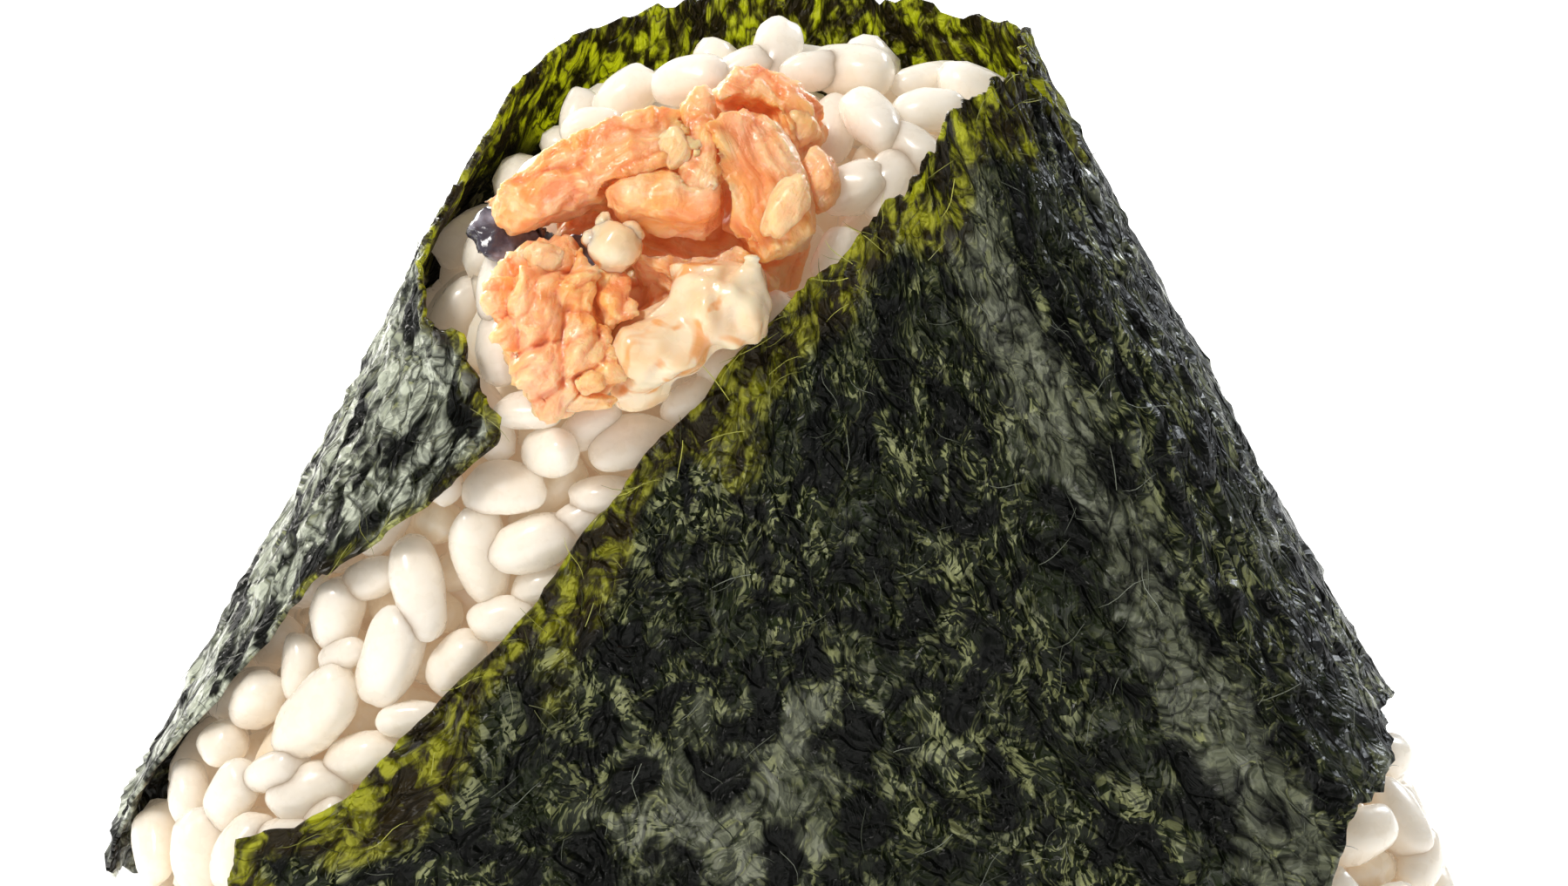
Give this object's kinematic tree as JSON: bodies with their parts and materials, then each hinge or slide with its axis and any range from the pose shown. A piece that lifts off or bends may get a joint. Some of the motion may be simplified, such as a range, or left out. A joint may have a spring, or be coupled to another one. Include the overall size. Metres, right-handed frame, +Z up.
{
  "type": "rice ball",
  "caption": "Pressed triangular rice ball wrapped in a seaweed sheet with an open top, filled with flaked salmon and mayonnaise.",
  "frame": {"origin": "on the table, under the middle of the rice ball's long base", "axes": "+X along the long base, towards the viewer's right; +Z up, from the base to the blunt top; the front, with the diagonal band of bare rice, faces -Y"},
  "size_m": [0.091, 0.0363, 0.0758],
  "materials": {
    "rice": "moist, slightly glossy",
    "nori": "dry, satin sheen",
    "salmon": "moist",
    "skin": "moist, satin",
    "mayonnaise": "glossy"
  },
  "bodies": {
    "root": {"rice": "rice", "nori_sheet": "nori", "salmon_bed": "salmon", "salmon_strip": "salmon", "salmon_sliver": "salmon", "salmon_boat": "salmon", "salmon_ledge": "salmon", "salmon_long": "salmon", "salmon_broad": "salmon", "salmon_back": "salmon", "salmon_crumbly": "salmon", "salmon_skin": "skin", "mayonnaise": "mayonnaise"}
  },
  "joints": []
}
